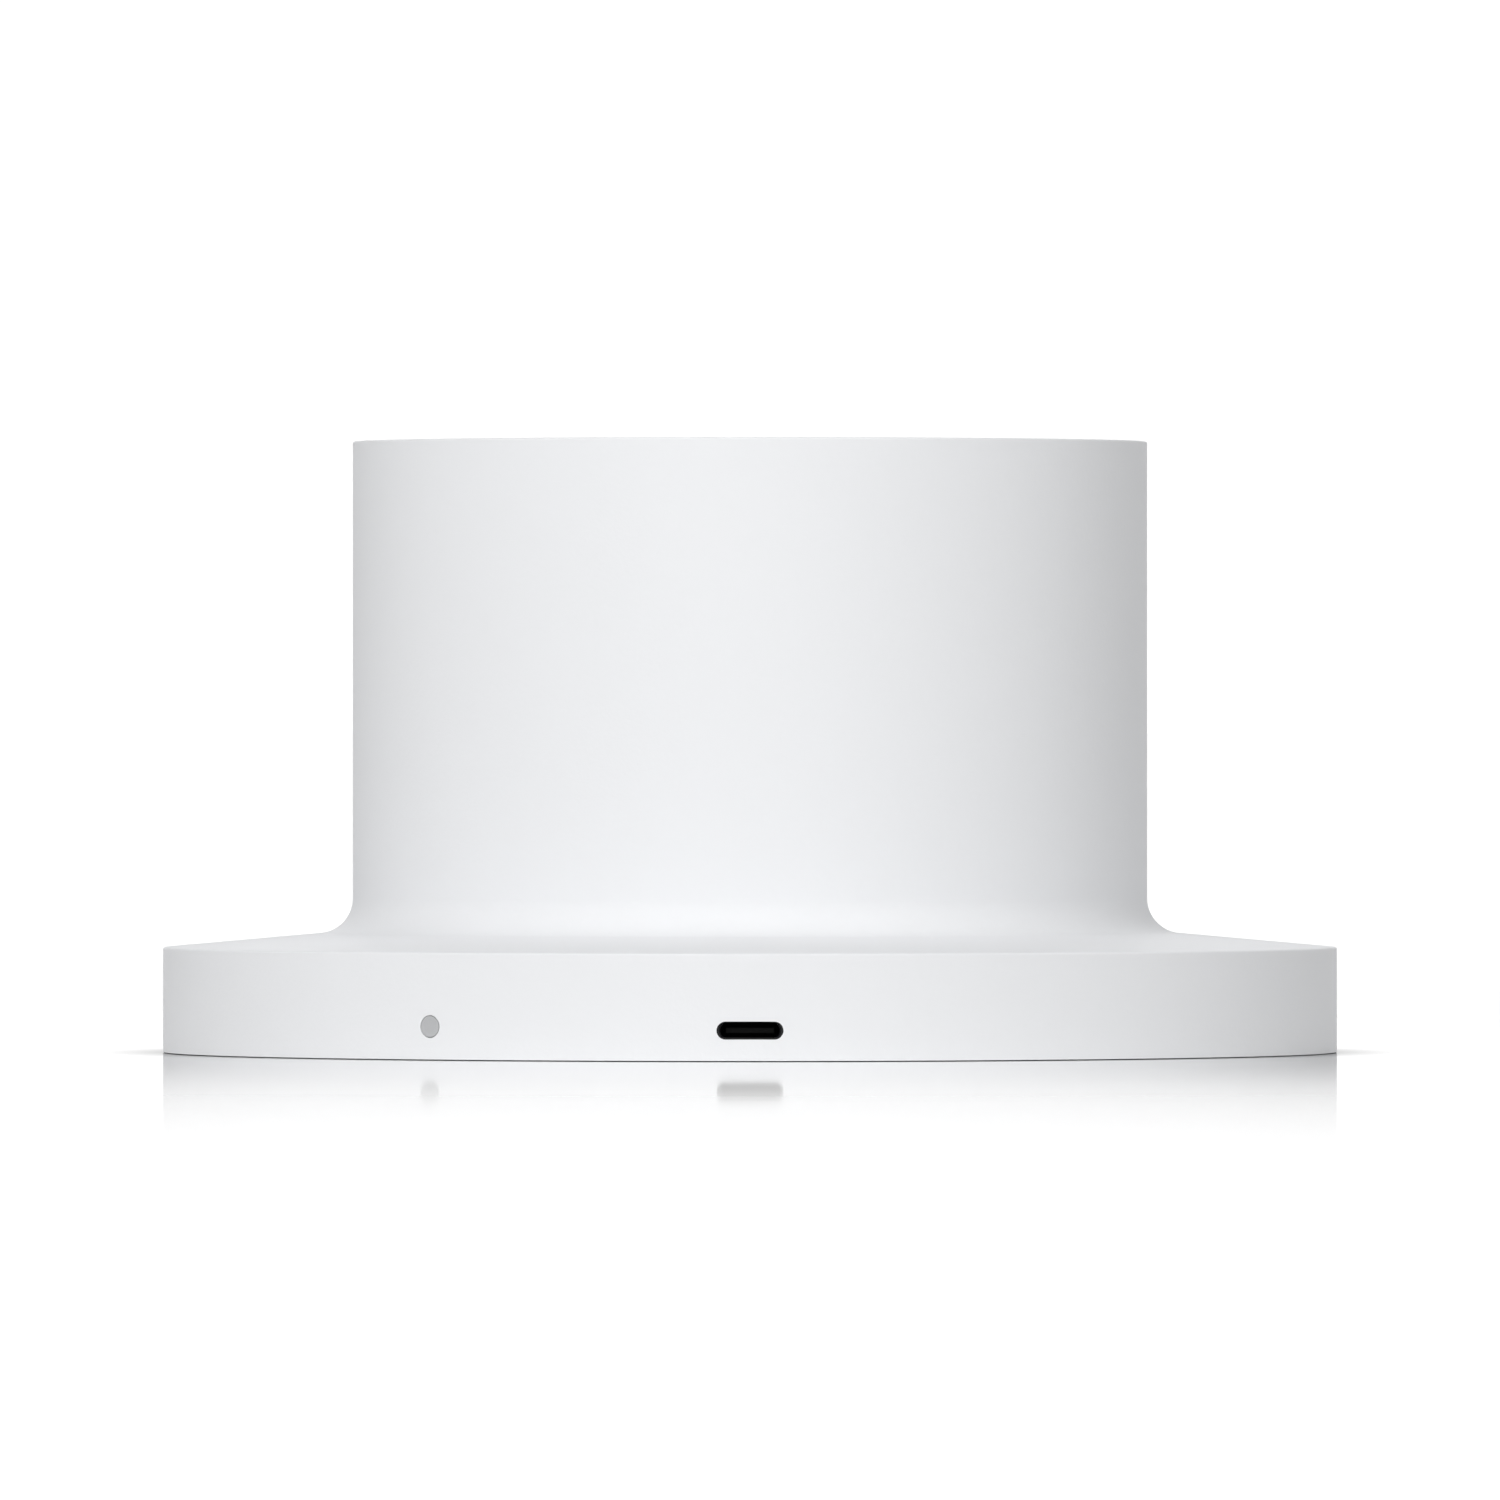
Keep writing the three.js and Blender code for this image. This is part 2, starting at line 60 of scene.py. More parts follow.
# ------------------------------------------------------------------- camera
cam_data = bpy.data.cameras.new("camera")
cam = bpy.data.objects.new("camera", cam_data)
scene.collection.objects.link(cam)
cam_data.sensor_width = 36.0
cam_data.lens = 531.4
cam_data.clip_start, cam_data.clip_end = 0.1, 100.0
cam.location = (0.0, -3.17, 0.0504)
aim = Vector((0.0, 0.0, 0.04325))
cam.rotation_mode = "QUATERNION"
cam.rotation_quaternion = (aim - cam.location).to_track_quat("-Z", "Y")
scene.camera = cam

# --------------------------------------------------- sizes, as the CAD has them
FLANGE_R, RIM_TOP, CONE_DEG = 84.0, 15.05, 5.1
TOWER_R, TOTAL_H, FILLET_R = 56.85, 87.4, 5.1
SHELL_GAP, WALL, ROOF, RIM_WALL = 0.08, 2.2, 2.5, 2.4
RIM_IN = FLANGE_R - RIM_WALL
PORT_Z, SLOT_W, SLOT_H = 4.32, 9.33, 2.5
POCKET_W, POCKET_Y, POCKET_Z = 11.2, -83.35, (2.45, 7.8)
BUTTON_DEG, BUTTON_Z, BUTTON_R, BUTTON_HOLE_R = -32.25, 4.7, 1.50, 1.57
FOOT_R, FOOT_T = 68.0, 1.1
BASE_R, BASE_Z0, BASE_Z1 = 81.2, 0.5, 2.3
SCREW_R, SCREW_DEG = 75.0, (45, 135, 225, 315)


# ------------------------------------------------------------------ helpers
class Build:
    """Vertices in millimetres with an optional exact normal each, and faces."""

    def __init__(self):
        self.v, self.n, self.f = [], [], []

    def add(self, p, n=None):
        self.v.append(tuple(p))
        self.n.append(tuple(n) if n is not None else None)
        return len(self.v) - 1

    def face(self, *ids):
        if len(set(ids)) >= 3:
            self.f.append(tuple(ids))

    def strip(self, a, b, closed=True):
        """Quads between two loops with the same count."""
        m = len(a)
        for i in range(m if closed else m - 1):
            j = (i + 1) % m
            self.face(a[i], a[j], b[j], b[i])

    def object(self, name, crease_deg=35.0):
        mesh = bpy.data.meshes.new(name)
        mesh.from_pydata([(x * MM, y * MM, z * MM) for x, y, z in self.v], [], self.f)
        bm = bmesh.new()
        bm.from_mesh(mesh)
        layer = bm.verts.layers.int.new("src")
        for i, v in enumerate(bm.verts):
            v[layer] = i
        bmesh.ops.remove_doubles(bm, verts=bm.verts, dist=1e-8)
        bmesh.ops.recalc_face_normals(bm, faces=bm.faces)
        keep = [v[layer] for v in bm.verts]
        bm.verts.layers.int.remove(layer)
        bm.to_mesh(mesh)
        bm.free()
        mesh.update()
        obj = bpy.data.objects.new(name, mesh)
        scene.collection.objects.link(obj)
        for p in mesh.polygons:
            p.use_smooth = True
        mesh.set_sharp_from_angle(angle=math.radians(crease_deg))
        exact = [self.n[i] for i in keep]
        if any(e is not None for e in exact):
            normals = [list(cn.vector) for cn in mesh.corner_normals]
            for li, loop in enumerate(mesh.loops):
                e = exact[loop.vertex_index]
                if e is not None:
                    normals[li] = e
            mesh.normals_split_custom_set(normals)
        return obj


def arc(cx, cz, r, a0, a1, n):
    """[(r, z, nr, nz)] along an arc, angles in degrees; the normal points away from its centre."""
    out = []
    for i in range(n + 1):
        a = math.radians(a0 + (a1 - a0) * i / n)
        out.append((cx + r * math.cos(a), cz + r * math.sin(a), math.cos(a), math.sin(a)))
    return out


def stadium(w, h, n=24, m=10):
    """Outline points and outward normals of a slot with round ends, in x and z."""
    r, c = h / 2, w / 2 - h / 2
    pts = []
    for side in (1, -1):
        for i in range(n + 1):
            a = -math.pi / 2 + math.pi * i / n + (0 if side == 1 else math.pi)
            pts.append((side * c + r * math.cos(a), r * math.sin(a), math.cos(a), math.sin(a)))
        for i in range(1, m):
            t = i / m
            pts.append((side * (c - 2 * c * t), side * r, 0.0, float(side)))
    return pts


def circle(r, n=64):
    return [(r * math.cos(2 * math.pi * i / n), r * math.sin(2 * math.pi * i / n),
             math.cos(2 * math.pi * i / n), math.sin(2 * math.pi * i / n)) for i in range(n)]


def inside(px, pz, loop):
    hit = False
    m = len(loop)
    for i in range(m):
        x0, z0 = loop[i][:2]
        x1, z1 = loop[(i + 1) % m][:2]
        if (z0 > pz) != (z1 > pz) and px < x0 + (pz - z0) * (x1 - x0) / (z1 - z0):
            hit = not hit
    return hit


def fill(outer, holes, extra=()):
    """Triangles between an outer loop and its holes, all 2-D points; returns points and triangles."""
    pts, edges = [], []
    for loop in [outer, *holes]:
        s = len(pts)
        pts += [Vector(p[:2]) for p in loop]
        edges += [(s + i, s + (i + 1) % len(loop)) for i in range(len(loop))]
    pts += [Vector(p[:2]) for p in extra]
    out, _, faces, orig, _, _ = delaunay_2d_cdt(pts, edges, [], 0, 1e-7)
    back = [o[0] if o else -1 for o in orig]
    tris = []
    for t in faces:
        cx = sum(out[i].x for i in t) / len(t)
        cz = sum(out[i].y for i in t) / len(t)
        if inside(cx, cz, outer) and not any(inside(cx, cz, h) for h in holes):
            tris.append(tuple(back[i] for i in t))
    return [(p.x, p.y) for p in pts], tris


# --------------------------------------------------------------- outer shell
def outer_profile():
    s, c = math.sin(math.radians(CONE_DEG)), math.cos(math.radians(CONE_DEG))
    slope = s / c
    fr = TOWER_R + FILLET_R
    fz = RIM_TOP + (FILLET_R + (FLANGE_R - fr) * s) / c
    e, et = 0.35, 0.3
    p = []
    p += arc(FLANGE_R - 0.06, SHELL_GAP + 0.06, 0.06, -90, 0, 5)
    rim = len(p) - 1                                     # last point of the lower edge
    # upper rim edge, from the wall round to the cone's slope
    a1 = 90 - CONE_DEG
    ec = FLANGE_R - e
    ez = RIM_TOP + (FLANGE_R - ec) * slope - e / c
    p += arc(ec, ez, e, 0, a1, 7)
    # the flange's cone, then the fillet up to the tower's wall
    start = p[-1]
    endr, endz = fr - FILLET_R * s, fz - FILLET_R * c
    for i in range(1, 12):
        t = i / 12
        p.append((start[0] + (endr - start[0]) * t, start[1] + (endz - start[1]) * t, s, c))
    for i in range(25):
        a = math.atan2(-c, -s) + (-math.pi - math.atan2(-c, -s)) * i / 24
        p.append((fr + FILLET_R * math.cos(a), fz + FILLET_R * math.sin(a), -math.cos(a), -math.sin(a)))
    for i in range(1, 8):
        p.append((TOWER_R, fz + (TOTAL_H - et - fz) * i / 8, 1.0, 0.0))
    p += arc(TOWER_R - et, TOTAL_H - et, et, 0, 90, 7)
    for r in (50, 40, 28, 14, 3):
        p.append((float(r), TOTAL_H, 0.0, 1.0))
    return p, rim, (fr, fz, s, c, slope)


def make_shell():
    b = Build()
    prof, rim_low, (fr, fz, s, c, slope) = outer_profile()
    n = 720
    cols = [math.radians(-90 + 360 * i / n) for i in range(n)]

    def revolve(profile, sign=1.0):
        loops = []
        for r, z, nr, nz in profile:
            loops.append([b.add((r * math.cos(a), r * math.sin(a), z),
                                (sign * nr * math.cos(a), sign * nr * math.sin(a), sign * nz)) for a in cols])
        return loops

    outer = revolve(prof)
    # inner face: roof, tower, flange underside, rim, down to the lower edge
    under = lambda r: RIM_TOP + (FLANGE_R - r) * slope - WALL / c
    inner = [(3.0, TOTAL_H - ROOF, 0, -1), (TOWER_R - WALL, TOTAL_H - ROOF, -0.7, -0.7)]
    for i in range(9):
        a = -math.pi + (math.atan2(-c, -s) + math.pi) * i / 8
        inner.append((fr + (FILLET_R + WALL) * math.cos(a), fz + (FILLET_R + WALL) * math.sin(a), math.cos(a), math.sin(a)))
    inner.append((RIM_IN, under(RIM_IN), -0.7, -0.7))
    inner.append((RIM_IN, 9.0, -1, 0))
    inner.append((RIM_IN, 1.4, -1, 0))
    inner.append((RIM_IN, SHELL_GAP + 0.12, -1, 0))
    inner.append((RIM_IN + 0.12, SHELL_GAP, 0, -1))
    inn = revolve(inner)
    win_in = len(inner) - 4                              # loop at z 9; the next is z 1.4

    windows = {"port": (0.0, 5.2), "button": (BUTTON_DEG, 3.2)}
    hit_out, hit_in = {}, {}
    for name, (deg, half) in windows.items():
        ids = [i for i in range(n) if abs((i * 360 / n - deg + 180) % 360 - 180) <= half]
        ids.sort(key=lambda i: (i * 360 / n - deg + 180) % 360)
        hit_out[name] = ids
        hit_in[name] = ids

    def blocked(i):
        return any(i in ids[:-1] for ids in hit_out.values())

    for k in range(len(prof) - 1):
        for i in range(n):
            if k == rim_low and blocked(i):
                continue
            j = (i + 1) % n
            b.face(outer[k][i], outer[k][j], outer[k + 1][j], outer[k + 1][i])
    for k in range(len(inner) - 1):
        for i in range(n):
            if k == win_in and blocked(i):
                continue
            j = (i + 1) % n
            b.face(inn[k][i], inn[k][j], inn[k + 1][j], inn[k + 1][i])
    b.strip(inn[-1], outer[0])
    b.face(*outer[-1])
    b.face(*inn[0][::-1])

    def patch(deg, ids, top, bottom, radius, outline, sign, step):
        """Fills a window of the cylinder round a hole outline, and returns the hole's loop of vertex ids."""
        turn = math.radians(deg)
        ct, st = math.cos(turn), math.sin(turn)

        def local(vid):
            x, y, z = b.v[vid]
            return (x * ct + y * st, z)

        border = [top[i] for i in ids] + [bottom[i] for i in reversed(ids)]
        pts2 = [local(v) for v in border]
        xs = [p[0] for p in pts2]
        zs = [p[1] for p in pts2]
        extra = []
        gx = min(xs) + step
        while gx < max(xs) - step * 0.5:
            gz = min(zs) + step
            while gz < max(zs) - step * 0.5:
                near = min(math.hypot(gx - q[0], gz - q[1]) for q in outline)
                if near > step * 0.7 and not inside(gx, gz, outline):
                    extra.append((gx, gz))
                gz += step
            gx += step
        allp, tris = fill(pts2, [outline], extra)
        ids_all = list(border)
        for x, z in allp[len(border):]:
            y = -math.sqrt(radius * radius - x * x)
            nx, ny = sign * x / radius, sign * y / radius
            ids_all.append(b.add((x * ct - y * st, x * st + y * ct, z), (nx * ct - ny * st, nx * st + ny * ct, 0)))
        for t in tris:
            b.face(*[ids_all[q] for q in t])
        return ids_all[len(border):len(border) + len(outline)]

    def lip(deg, zc, outline, first, radius, rho, steps):
        """Rounds the hole's edge over into its wall; returns the last loop and its 2-D outline."""
        turn = math.radians(deg)
        ct, st = math.cos(turn), math.sin(turn)
        last = first
        for k in range(1, steps + 1):
            a = math.pi / 2 * k / steps
            loop = []
            for x, z, nx, nz in outline:
                px = x + nx * rho * (1 - math.sin(a))
                pz = zc + z + nz * rho * (1 - math.sin(a))
                y = -math.sqrt(radius * radius - px * px) + rho * (1 - math.cos(a))
                n3 = (-nx * math.sin(a), -math.cos(a), -nz * math.sin(a))
                loop.append(b.add((px * ct - y * st, px * st + y * ct, pz),
                                  (n3[0] * ct - n3[1] * st, n3[0] * st + n3[1] * ct, n3[2])))
            b.strip(last, loop)
            last = loop
        return last

    top_o, low_o = outer[rim_low + 1], outer[rim_low]
    top_i, low_i = inn[win_in], inn[win_in + 1]

    # port: outer slot, recess behind it, and the thin wall between them
    rho = 0.07
    slot = stadium(SLOT_W, SLOT_H)
    grown = [(x + nx * rho, PORT_Z + z + nz * rho) for x, z, nx, nz in slot]
    first = patch(0.0, hit_out["port"], top_o, low_o, FLANGE_R, grown, 1.0, 0.8)
    wall0 = lip(0.0, PORT_Z, slot, first, FLANGE_R, rho, 4)
    wall1 = [b.add((x, POCKET_Y, PORT_Z + z)) for x, z, nx, nz in slot]
    b.strip(wall0, wall1)
    hw, (pz0, pz1) = POCKET_W / 2, POCKET_Z
    m = 12
    rect = []
    for i in range(m):
        rect.append((-hw + 2 * hw * i / m, pz0))
    for i in range(m // 2):
        rect.append((hw, pz0 + (pz1 - pz0) * i / (m // 2)))
    for i in range(m):
        rect.append((hw - 2 * hw * i / m, pz1))
    for i in range(m // 2):
        rect.append((-hw, pz1 - (pz1 - pz0) * i / (m // 2)))
    rim_rect = patch(0.0, hit_in["port"], top_i, low_i, RIM_IN, rect, -1.0, 0.9)
    deep = [b.add((x, POCKET_Y, z)) for x, z in rect]
    b.strip(rim_rect, deep)
    _, tris = fill(rect, [[(x, PORT_Z + z) for x, z, _, _ in slot]])
    both = deep + wall1
    for t in tris:
        b.face(*[both[q] for q in t])

    # button hole
    ring = circle(BUTTON_HOLE_R, 72)
    grown = [(x + nx * rho, BUTTON_Z + z + nz * rho) for x, z, nx, nz in ring]
    first = patch(BUTTON_DEG, hit_out["button"], top_o, low_o, FLANGE_R, grown, 1.0, 0.8)
    wall0 = lip(BUTTON_DEG, BUTTON_Z, ring, first, FLANGE_R, rho, 4)
    flat = [(x, BUTTON_Z + z) for x, z, _, _ in ring]
    wall1 = patch(BUTTON_DEG, hit_in["button"], top_i, low_i, RIM_IN, flat, -1.0, 0.9)
    b.strip(wall0, wall1)
    return b.object("shell", crease_deg=40)


shell = make_shell()
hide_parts("outer_shell")
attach(shell, "player")


# ------------------------------------------------------- base plate, foot pad
def plane_normal(up):
    return (0.0, 0.0, 1.0 if up else -1.0)


def make_base():
    b = Build()
    n = 360
    cols = [2 * math.pi * i / n for i in range(n)]

    def loop(r, z, nr=None, nz=None):
        return [b.add((r * math.cos(a), r * math.sin(a), z),
                      None if nr is None else (nr * math.cos(a), nr * math.sin(a), nz)) for a in cols]

    e = 0.3
    edge = [loop(r, z, nr, nz) for r, z, nr, nz in arc(BASE_R - e, BASE_Z0 + e, e, -90, 0, 5)]
    for a, c in zip(edge, edge[1:]):
        b.strip(a, c)
    top = loop(BASE_R, BASE_Z1)
    b.strip(edge[-1], top)
    step0 = loop(FOOT_R + 0.3 + 0.15, BASE_Z0, 0, -1)
    step1 = loop(FOOT_R + 0.3, BASE_Z0 + 0.15)
    step2 = loop(FOOT_R + 0.3, FOOT_T)
    b.strip(step0, step1)
    b.strip(step1, step2)
    b.face(*step2)
    centres = [(SCREW_R * math.cos(math.radians(d)), SCREW_R * math.sin(math.radians(d))) for d in SCREW_DEG]
    sink, bore = circle(2.6, 48), circle(1.45, 48)

    def ring_at(cx, cy, outline, z, grow=0.0, nrm=None):
        return [b.add((cx + x + nx * grow, cy + y + ny * grow, z), nrm) for x, y, nx, ny in outline]

    outer2 = [b.v[i][:2] for i in edge[0]]
    inner2 = [b.v[i][:2] for i in step0]
    rho = 0.15
    heads = [ring_at(cx, cy, sink, BASE_Z0, rho, (0, 0, -1)) for cx, cy in centres]
    holes2 = [[b.v[i][:2] for i in h] for h in heads]
    _, tris = fill(outer2, [inner2, *holes2])
    flat = edge[0] + step0 + [i for h in heads for i in h]
    for t in tris:
        b.face(*[flat[q] for q in t])
    bores_top = [ring_at(cx, cy, bore, BASE_Z1) for cx, cy in centres]
    for (cx, cy), head, out in zip(centres, heads, bores_top):
        mid = ring_at(cx, cy, sink, BASE_Z0 + rho)
        b.strip(head, mid)
        floor_out = ring_at(cx, cy, sink, 1.25)
        b.strip(mid, floor_out)
        floor_in = ring_at(cx, cy, bore, 1.25)
        b.strip(floor_out, floor_in)
        b.strip(floor_in, out)
    top2 = [b.v[i][:2] for i in top]
    _, tris = fill(top2, [[b.v[i][:2] for i in h] for h in bores_top])
    flat = top + [i for h in bores_top for i in h]
    for t in tris:
        b.face(*[flat[q] for q in t])
    return b.object("base_cover", crease_deg=30)


base = make_base()
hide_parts("base_plate")
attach(base, "player")


def turned(name, profile, n=96, crease=35.0):
    """A closed body turned about +Z from (radius, z) pairs that start and end on the axis."""
    b = Build()
    loops = []
    for r, z in profile:
        if r < 1e-6:
            loops.append([b.add((0, 0, z))])
        else:
            loops.append([b.add((r * math.cos(2 * math.pi * i / n), r * math.sin(2 * math.pi * i / n), z)) for i in range(n)])
    for a, c in zip(loops, loops[1:]):
        if len(a) == 1 and len(c) == 1:
            continue
        if len(a) == 1:
            for i in range(n):
                b.face(a[0], c[i], c[(i + 1) % n])
        elif len(c) == 1:
            for i in range(n):
                b.face(a[i], c[0], a[(i + 1) % n])
        else:
            b.strip(a, c)
    return b.object(name, crease)


def rounded(points, radius, steps=4):
    """Rounds the inner corners of a polyline of (r, z) points."""
    out = [points[0]]
    for p, q, r in zip(points, points[1:], points[2:]):
        a, c = Vector(p) - Vector(q), Vector(r) - Vector(q)
        k = min(radius, a.length * 0.45, c.length * 0.45)
        s, t = Vector(q) + a.normalized() * k, Vector(q) + c.normalized() * k
        for i in range(steps + 1):
            u = i / steps
            m = s * (1 - u) ** 2 + Vector(q) * 2 * u * (1 - u) + t * u ** 2
            out.append((m.x, m.y))
    out.append(points[-1])
    return out


# foot pad: a flat rubber disc with a raised outer band round a centre set 0.18 mm back
pad_pts = [(0, 0.18), (61.0, 0.18), (61.4, 0.0), (67.3, 0.0), (68.0, 0.5), (68.0, 1.1), (0, 1.1)]
pad = turned("foot", rounded(pad_pts, 0.35), n=240)
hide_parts("foot_pad")
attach(pad, "player")

# --------------------------------------------------------------- button cap
cap_pts = [(0, 84.0), (1.1, 84.0), (BUTTON_R, 83.99), (BUTTON_R, 81.3), (2.1, 81.3), (2.1, 80.5), (1.0, 80.5), (1.0, 78.3), (0, 78.3)]
cap_pts = rounded(cap_pts, 0.07, 5)
cap = turned("button", cap_pts, n=72)
# turned about +Z; lay the axis down along -Y, then turn it to its place in the rim
place = (Matrix.Rotation(math.radians(BUTTON_DEG), 4, "Z")
         @ Matrix.Translation((0, 0, BUTTON_Z * MM))
         @ Matrix.Rotation(math.radians(90), 4, "X"))
cap.data.transform(place)
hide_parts("button_cap")
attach(cap, "button")


# -------------------------------------------------------------- base screws
def make_screw(name, x, y):
    """Flat pan head with a cross recess, and its shank."""
    b = Build()
    n = 64
    r_head, z0, z1 = 2.3, 0.6, 1.25
    arm, half, depth = 1.25, 0.3, 0.42
    prof = rounded([(r_head * 0.55, z0), (r_head, z0 + 0.02), (r_head, z1), (1.2, z1), (1.2, 9.2), (0.9, 9.5)], 0.22, 4)
    loops = [[b.add((r * math.cos(2 * math.pi * i / n), r * math.sin(2 * math.pi * i / n), z)) for i in range(n)] for r, z in prof]
    for a, c in zip(loops, loops[1:]):
        b.strip(a, c)
    b.face(*loops[-1])
    cross = [(arm, -half), (arm, half), (half, half), (half, arm), (-half, arm), (-half, half),
             (-arm, half), (-arm, -half), (-half, -half), (-half, -arm), (half, -arm), (half, -half)]
    _, tris = fill([b.v[i][:2] for i in loops[0]], [cross])
    rim = [b.add((px, py, z0)) for px, py in cross]
    flat = loops[0] + rim
    for t in tris:
        b.face(*[flat[q] for q in t])
    low = [b.add((px * 0.82, py * 0.82, z0 + depth)) for px, py in cross]
    b.strip(rim, low)
    b.face(*low)
    obj = b.object(name, 30)
    obj.data.transform(Matrix.Translation((x * MM, y * MM, 0)) @ Matrix.Rotation(math.atan2(y, x) + 0.35, 4, "Z"))
    return obj


for i, d in enumerate(SCREW_DEG):
    screw = make_screw(f"cover_screw_{i + 1}", SCREW_R * math.cos(math.radians(d)), SCREW_R * math.sin(math.radians(d)))
    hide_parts(f"base_screw_{i + 1}")
    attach(screw, "player")


# ---------------------------------------------------------------- materials
def principled(name, color, rough, metal=0.0, spec=0.5):
    m = bpy.data.materials.new(name)
    m.use_nodes = True
    nt = m.node_tree
    bsdf = nt.nodes["Principled BSDF"]
    bsdf.inputs["Base Color"].default_value = (*color, 1.0)
    bsdf.inputs["Roughness"].default_value = rough
    bsdf.inputs["Metallic"].default_value = metal
    bsdf.inputs["Specular IOR Level"].default_value = spec
    return m, nt, bsdf


def coords(nt, scale=(1, 1, 1)):
    tc = nt.nodes.new("ShaderNodeTexCoord")
    mp = nt.nodes.new("ShaderNodeMapping")
    mp.inputs["Scale"].default_value = scale
    nt.links.new(tc.outputs["Object"], mp.inputs["Vector"])
    return mp.outputs["Vector"]


def noise(nt, vec, scale, detail=2.0, rough=0.5):
    t = nt.nodes.new("ShaderNodeTexNoise")
    t.inputs["Scale"].default_value = scale
    t.inputs["Detail"].default_value = detail
    t.inputs["Roughness"].default_value = rough
    nt.links.new(vec, t.inputs["Vector"])
    return t.outputs["Fac"]


def bump(nt, bsdf, height, distance, strength=1.0, chain=None):
    bp = nt.nodes.new("ShaderNodeBump")
    bp.inputs["Distance"].default_value = distance
    bp.inputs["Strength"].default_value = strength
    nt.links.new(height, bp.inputs["Height"])
    if chain is not None:
        nt.links.new(chain, bp.inputs["Normal"])
    nt.links.new(bp.outputs["Normal"], bsdf.inputs["Normal"])
    return bp.outputs["Normal"]


def ramp(nt, fac, c0, c1, p0=0.3, p1=0.7):
    r = nt.nodes.new("ShaderNodeValToRGB")
    r.color_ramp.elements[0].position, r.color_ramp.elements[1].position = p0, p1
    r.color_ramp.elements[0].color, r.color_ramp.elements[1].color = (*c0, 1), (*c1, 1)
    nt.links.new(fac, r.inputs["Fac"])
    return r.outputs["Color"]


def vary(nt, bsdf, fac, color, amount):
    """Base colour moved up and down by amount with fac."""
    lo = tuple(max(0.0, v * (1 - amount)) for v in color)
    hi = tuple(min(1.0, v * (1 + amount)) for v in color)
    nt.links.new(ramp(nt, fac, lo, hi), bsdf.inputs["Base Color"])


def rough_vary(nt, bsdf, fac, lo, hi):
    mr = nt.nodes.new("ShaderNodeMapRange")
    mr.inputs["From Min"].default_value, mr.inputs["From Max"].default_value = 0.3, 0.7
    mr.inputs["To Min"].default_value, mr.inputs["To Max"].default_value = lo, hi
    nt.links.new(fac, mr.inputs["Value"])
    nt.links.new(mr.outputs["Result"], bsdf.inputs["Roughness"])


def grained_plastic(name, color, rough, grain=0.00001, scale=1400.0, amount=0.01, spec=0.4):
    """Moulded plastic with a spark-eroded tool texture: two sizes of fine grain and a faint colour drift."""
    m, nt, bsdf = principled(name, color, rough, 0.0, spec)
    v = coords(nt)
    coarse = noise(nt, v, scale, 1.0, 0.5)
    fine = noise(nt, v, scale * 2.7, 1.0, 0.5)
    first = bump(nt, bsdf, coarse, grain)
    bump(nt, bsdf, fine, grain * 0.35, 1.0, first)
    drift = noise(nt, v, 22.0, 3.0, 0.5)
    vary(nt, bsdf, drift, color, amount)
    rough_vary(nt, bsdf, coarse, rough - 0.04, rough + 0.04)
    return m


def metal(name, color, rough, brushed=(1, 1, 1), scale=900.0, grain=0.000004):
    m, nt, bsdf = principled(name, color, rough, 1.0)
    v = coords(nt, brushed)
    f = noise(nt, v, scale, 3.0, 0.6)
    bump(nt, bsdf, f, grain)
    rough_vary(nt, bsdf, f, rough - 0.06, rough + 0.08)
    vary(nt, bsdf, noise(nt, v, 60.0, 2.0), color, 0.05)
    return m


def board(name, color):
    m, nt, bsdf = principled(name, color, 0.38, 0.0, 0.5)
    v = coords(nt)
    # buried tracks under the solder mask
    br = nt.nodes.new("ShaderNodeTexVoronoi")
    br.feature = "DISTANCE_TO_EDGE"
    br.inputs["Scale"].default_value = 190.0
    nt.links.new(v, br.inputs["Vector"])
    nt.links.new(ramp(nt, br.outputs["Distance"], tuple(c * 1.5 + 0.01 for c in color), color, 0.04, 0.07), bsdf.inputs["Base Color"])
    bump(nt, bsdf, noise(nt, v, 1500.0, 2.0), 0.000006)
    return m


